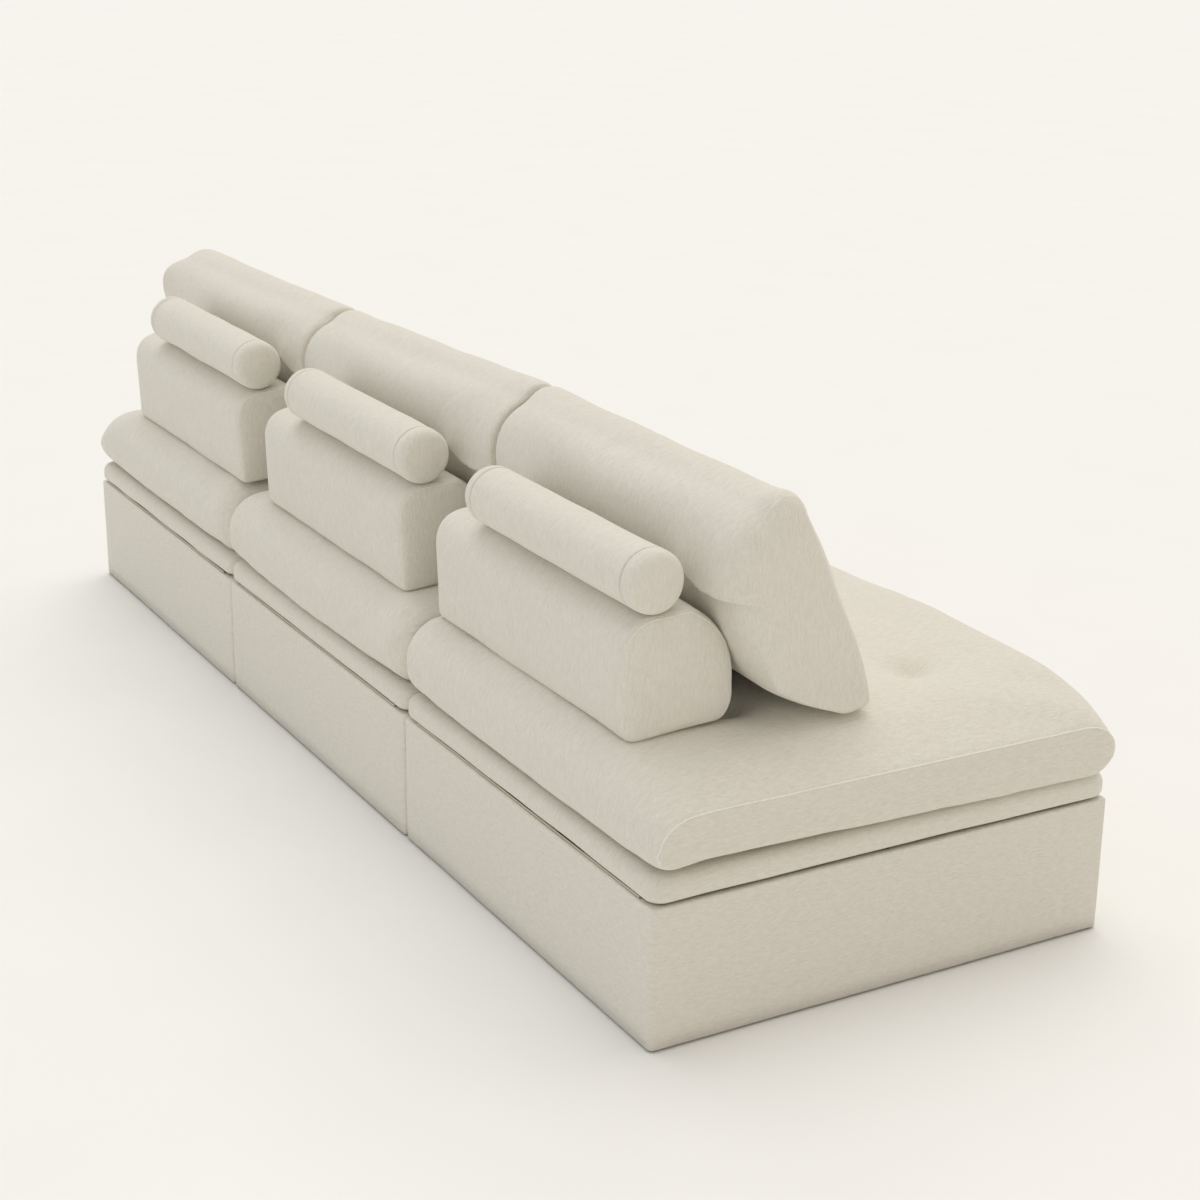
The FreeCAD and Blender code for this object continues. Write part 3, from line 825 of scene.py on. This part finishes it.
def bolster_profile(half, r):
    # distance from the middle and radius, from the cap over the seam to the middle
    profile = []
    for share in BOLSTER_CAP_RINGS:
        profile.append((half - BOLSTER_CAP * share ** 2, share * (r - BOLSTER_EDGE)))
    for k in range(BOLSTER_EDGE_STEPS + 1):
        turn = math.radians(90) * k / BOLSTER_EDGE_STEPS
        inward = BOLSTER_CAP + (BOLSTER_EDGE - BOLSTER_CAP) * (1 - math.cos(turn))
        profile.append((half - inward, r - BOLSTER_EDGE * (1 - math.sin(turn))))
    seam = half - BOLSTER_SEAM
    for off, dip in BOLSTER_GROOVE_SHAPE:
        profile.append((seam + off * BOLSTER_GROOVE_WIDE, r - dip * BOLSTER_GROOVE))
    inner = seam - BOLSTER_GROOVE_PAST * BOLSTER_GROOVE_WIDE
    steps = round(inner / BOLSTER_STEP)
    return profile + [(inner * (1 - k / steps), r) for k in range(steps + 1)]


bolster_cloth = sofa_cloth("bolster_cloth", SLUBS_DOWN, SLUBS_UPRIGHT)
for number, side in enumerate(SIDES):
    low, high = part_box(f"{side}_bolster_cover")
    centre = (low + high) / 2
    profile = bolster_profile((high.x - low.x) / 2, (high.z - low.z) / 2)
    near = [hoop(centre.x - x, centre.y, centre.z, r) for x, r in profile]
    far = [hoop(centre.x + x, centre.y, centre.z, r) for x, r in profile[-2::-1]]
    bm = stuffed(near + far, 0, 0)
    bolster = add_piece(f"{side}_bolster", bm, bolster_cloth)
    uneven(bolster, BOLSTER_WAVE, number)
    refined(bolster)
    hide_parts(f"{side}_bolster_cover")
    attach(bolster, f"{side}_bolster")

# Back cushions: thick, soft and loose, of foam wrapped in fibre. Each stands on
# the seat and leans on its block and bolster, which press folds into it.
LEAN = math.radians(24.7)
CUSHION = 0.392
CUSHION_THICK = 0.180
CUSHION_SECTION = (
    (-0.05, 0.12, 0.01),
    (0.0, 0.42, 0.03),
    (0.27, 0.95, 0.05),
    (0.82, 0.97, 0.13),
    (1.0, 0.40, 0.085),
    (0.965, 0.0, 0.11),
)
CUSHION_ROLL = 0.044
CUSHION_EDGES = (0.010, 0.004, 0.012, 0.050, 0.026, 0.030)
CRISP_ROLL = 0.018
CRISP_EDGES = (0.008, 0.004, 0.010, 0.016, 0.012, 0.014)
CUSHION_STEP = 0.015
CUSHION_SWELL = 0.006
CUSHION_WAVE = (0.15, 0.003, 40)
FOOT_SINK = 0.004
FOOT_HIGH = 0.050
EAR_LIFT = 0.012
EAR_LONG = 0.050
EAR_HIGH = 0.030
FAR_EAR_AT = (0.90, 0.72)
FAR_EAR_PULL = (0.012, 0.016)
FAR_EAR_LONG = 0.060
FAR_EAR_WIDE = 0.050
SUNK = ((-1.26, 0.0), (-0.45, -0.008), (0.45, 0.018), (1.35, 0.030))
FOLD_SEARCH = 0.16
FOLD_EDGE = 0.0020
FOLD_FADE = 3
BIG_FOLD = (
    (0.079, 0.2656, 0.6973), (0.052, 0.2635, 0.6877), (0.027, 0.2610, 0.6795),
    (-0.009, 0.2583, 0.6770), (-0.039, 0.2475, 0.6749), (-0.0525, 0.2284, 0.6695),
    (-0.059, 0.1961, 0.6619),
)
BIG_FOLD_REACH = 0.030
BIG_FOLD_LIFT = 0.016
CREASE = ((-0.0497, 0.2367, 0.6862), (-0.0536, 0.2265, 0.6873), (-0.0582, 0.2113, 0.6879))
CREASE_REACH = 0.008
CREASE_LIFT = 0.006
CUSHION_SEAM_DROP = 0.040


def cushion_point(foot, t, n, bow):
    # t along the leaning front and n through the thickness, as shares
    along = t * CUSHION
    out = n * CUSHION_THICK
    y = foot.y + along * math.sin(LEAN) + out * math.cos(LEAN)
    z = foot.z + along * math.cos(LEAN) - out * math.sin(LEAN)
    return (y, z, bow * CUSHION_THICK)


def cushion_corners(foot):
    return [cushion_point(foot, t, n, bow) for t, n, bow in CUSHION_SECTION]


def read_off(table, x):
    # the value at x on the straight lines through the points of the table
    for (x0, y0), (x1, y1) in zip(table, table[1:]):
        if x <= x1:
            break
    part = min(1.0, max(0.0, (x - x0) / (x1 - x0)))
    return y0 + (y1 - y0) * part


def fold(piece, path, reach, lift):
    # the skin above the path hangs over the skin below it, less and less along the path
    spans = list(zip(path, path[1:]))
    mesh = piece.data
    normals = [v.normal.copy() for v in mesh.vertices]
    for v, out in zip(mesh.vertices, normals):
        if (v.co - path[len(path) // 2]).length > FOLD_SEARCH:
            continue
        away = FOLD_SEARCH
        for k, (a, b) in enumerate(spans):
            along = max(0.0, min(1.0, (v.co - a).dot(b - a) / (b - a).length_squared))
            close = a + (b - a) * along
            if (v.co - close).length < away:
                away = (v.co - close).length
                above = math.tanh((v.co.z - close.z) / FOLD_EDGE)
                fade = 1 - ((k + along) / len(spans)) ** FOLD_FADE
        v.co += out * lift * above * fade * math.exp(-away / reach)
    mesh.update()


def squeezed(piece, x0, x1):
    # the piece pressed together along the row until it lies between x0 and x1
    xs = [v.co.x for v in piece.data.vertices]
    first, last = min(xs), max(xs)
    start = max(first, x0)
    share = (min(last, x1) - start) / (last - first)
    for v in piece.data.vertices:
        v.co.x = start + (v.co.x - first) * share


cushion_cloth = sofa_cloth("cushion_cloth", SLUBS_DOWN, SLUBS_UPRIGHT)
for number, side in enumerate(SIDES):
    low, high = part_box(f"{side}_back_cover")
    rough = cushion_corners(Vector())
    counts = paired_counts(edge_counts(rough, CUSHION_STEP), 2)
    points = bowed(rough, counts)
    foot = Vector((0, low.y - min(p[0] for p in points), low.z - min(p[1] for p in points)))
    points = bowed(cushion_corners(foot), counts)
    far = (CRISP_ROLL, spread(CRISP_EDGES, counts))
    near = far
    if side == "left":
        near = (CUSHION_ROLL, spread(CUSHION_EDGES, counts))
    bm = rolled_block(points, low.x, high.x, near, far, CUSHION_STEP, counts[0])
    back = add_piece(f"{side}_back_cushion", bm, cushion_cloth)
    sole = low.z
    swell(back, lambda p: p.z < sole + HELD, CUSHION_SWELL)
    refined(back)
    eased(back, low.x, high.x)
    uneven(back, CUSHION_WAVE, number)
    ear_y, ear_z, _ = cushion_point(foot, *FAR_EAR_AT, 0)
    for v in back.data.vertices:
        if side == "left":
            v.co.z += EAR_LIFT * hump((v.co.x - low.x) / EAR_LONG, (v.co.z - high.z) / EAR_HIGH)
        if side == "right":
            wide = math.hypot(v.co.y - ear_y, v.co.z - ear_z) / FAR_EAR_WIDE
            pull = hump(wide, (v.co.x - high.x) / FAR_EAR_LONG)
            v.co.y += FAR_EAR_PULL[0] * pull
            v.co.z += FAR_EAR_PULL[1] * pull
        v.co.z -= read_off(SUNK, v.co.x) * max(0.0, (v.co.z - sole) / (high.z - sole)) ** 2
        v.co.z = max(v.co.z, sole)
        v.co.z -= FOOT_SINK * max(0.0, 1 - (v.co.z - sole) / FOOT_HIGH)
    refined(back)
    bolster_end = Vector((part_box(f"{side}_bolster_cover")[0].x, 0, 0))
    fold(back, [bolster_end + Vector(p) for p in BIG_FOLD], BIG_FOLD_REACH, BIG_FOLD_LIFT)
    fold(back, [bolster_end + Vector(p) for p in CREASE], CREASE_REACH, CREASE_LIFT)
    lid_low, lid_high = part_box(f"{side}_lid_pad")
    squeezed(back, lid_low.x, lid_high.x)
    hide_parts(f"{side}_back_cover")
    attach(back, f"{side}_back")
    seam_low = high.z - CUSHION_SEAM_DROP
    thread = seam_thread(f"{side}_cushion_seam", back, low.x, BLOCK_SEAM_R, seam_low)
    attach(thread, f"{side}_back")

# Studio: one plain pale floor that runs into a backdrop of its own tone, a dome
# of light that is warmer on the near side, and a broad soft lamp on the far side.
FLOOR_LIGHT = (0.92, 0.912, 0.89, 1)
FLOOR_DARK = (0.905, 0.897, 0.875, 1)
FLOOR_MOTTLE = (3, 3, 3)
FLOOR_SIZE = 120.0
BACKDROP = (0.92, 0.895, 0.845, 1)
DOME_WARM = (1.0, 0.92, 0.82, 1)
DOME_COOL = (0.97, 1.0, 1.02, 1)
DOME_COOL_SIDE = (0.5, 0.87, 0)
DOME_STRENGTH = 0.70
LAMP = (1.0, 0.99, 0.97)
LAMP_STRENGTH = 1.12
LAMP_SPREAD = math.radians(60)
LAMP_TURN = (math.radians(14), math.radians(20), 0)

bm = bmesh.new()
bmesh.ops.create_grid(bm, x_segments=1, y_segments=1, size=FLOOR_SIZE / 2)
floor_paint, floor_shader = grained(
    "floor_paint", roughness=0.9, scale=FLOOR_MOTTLE, detail=4, twist=0,
    low=FLOOR_DARK, high=FLOOR_LIGHT,
)
floor_shader.inputs["Specular IOR Level"].default_value = 0.1
floor = add_piece("studio_floor", bm, floor_paint)
floor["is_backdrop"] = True

world = bpy.data.worlds.new("studio")
world.use_nodes = True
sky = world.node_tree
dome = sky.nodes["Background"]
dome.inputs["Strength"].default_value = DOME_STRENGTH
look = sky.nodes.new("ShaderNodeTexCoord")
facing = sky.nodes.new("ShaderNodeVectorMath")
facing.operation = "DOT_PRODUCT"
facing.inputs[1].default_value = DOME_COOL_SIDE
share = sky.nodes.new("ShaderNodeMapRange")
share.inputs["From Min"].default_value = -1.0
tones = sky.nodes.new("ShaderNodeMix")
tones.data_type = "RGBA"
for socket in tones.inputs:
    if socket.type == "RGBA":
        socket.default_value = DOME_WARM if socket.name == "A" else DOME_COOL
sky.links.new(look.outputs["Generated"], facing.inputs[0])
sky.links.new(facing.outputs["Value"], share.inputs["Value"])
sky.links.new(share.outputs["Result"], tones.inputs["Factor"])
sky.links.new([o for o in tones.outputs if o.type == "RGBA"][0], dome.inputs["Color"])
backdrop = sky.nodes.new("ShaderNodeBackground")
backdrop.inputs["Color"].default_value = BACKDROP
rays = sky.nodes.new("ShaderNodeLightPath")
seen = rays.outputs["Is Camera Ray"]
for kind in ("Is Glossy Ray", "Is Transmission Ray"):
    either = sky.nodes.new("ShaderNodeMath")
    either.operation = "MAXIMUM"
    sky.links.new(seen, either.inputs[0])
    sky.links.new(rays.outputs[kind], either.inputs[1])
    seen = either.outputs["Value"]
blend = sky.nodes.new("ShaderNodeMixShader")
sky.links.new(seen, blend.inputs["Fac"])
sky.links.new(dome.outputs["Background"], blend.inputs[1])
sky.links.new(backdrop.outputs["Background"], blend.inputs[2])
sky.links.new(blend.outputs["Shader"], sky.nodes["World Output"].inputs["Surface"])
bpy.context.scene.world = world

lamp = bpy.data.lights.new("overhead_lamp", "SUN")
lamp.energy = LAMP_STRENGTH
lamp.color = LAMP
lamp.angle = LAMP_SPREAD
lamp_object = bpy.data.objects.new("overhead_lamp", lamp)
lamp_object.rotation_euler = LAMP_TURN
bpy.context.scene.collection.objects.link(lamp_object)

# Camera: behind the sofa's left end and above it, as photographed, with a
# slightly long lens and a small roll.
FRAME_PIXELS = 1200
FOCAL_PIXELS = 2242.2
SENSOR = 36.0
CAMERA_AT = Vector((-3.9614, 2.0315, 1.7844))
CAMERA_AZIMUTH = math.radians(240.395)
CAMERA_RISE = math.radians(18.849)
CAMERA_ROLL = math.radians(0.63)
CAMERA_FAR = 200

back_way = Vector((
    math.sin(CAMERA_AZIMUTH) * math.cos(CAMERA_RISE),
    -math.cos(CAMERA_AZIMUTH) * math.cos(CAMERA_RISE),
    math.sin(CAMERA_RISE),
))
level = (-back_way).cross(Vector((0, 0, 1))).normalized()
upward = level.cross(-back_way)
right_way = level * math.cos(CAMERA_ROLL) + upward * math.sin(CAMERA_ROLL)
up_way = upward * math.cos(CAMERA_ROLL) - level * math.sin(CAMERA_ROLL)
camera = bpy.data.cameras.new("photo_view")
camera.sensor_width = SENSOR
camera.lens = FOCAL_PIXELS / FRAME_PIXELS * SENSOR
camera.clip_end = CAMERA_FAR
camera_object = bpy.data.objects.new("photo_view", camera)
turn = Matrix((right_way, up_way, back_way)).transposed()
camera_object.matrix_world = Matrix.Translation(CAMERA_AT) @ turn.to_4x4()
bpy.context.scene.collection.objects.link(camera_object)
bpy.context.scene.camera = camera_object
bpy.context.scene.view_settings.view_transform = "Standard"

low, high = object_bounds()
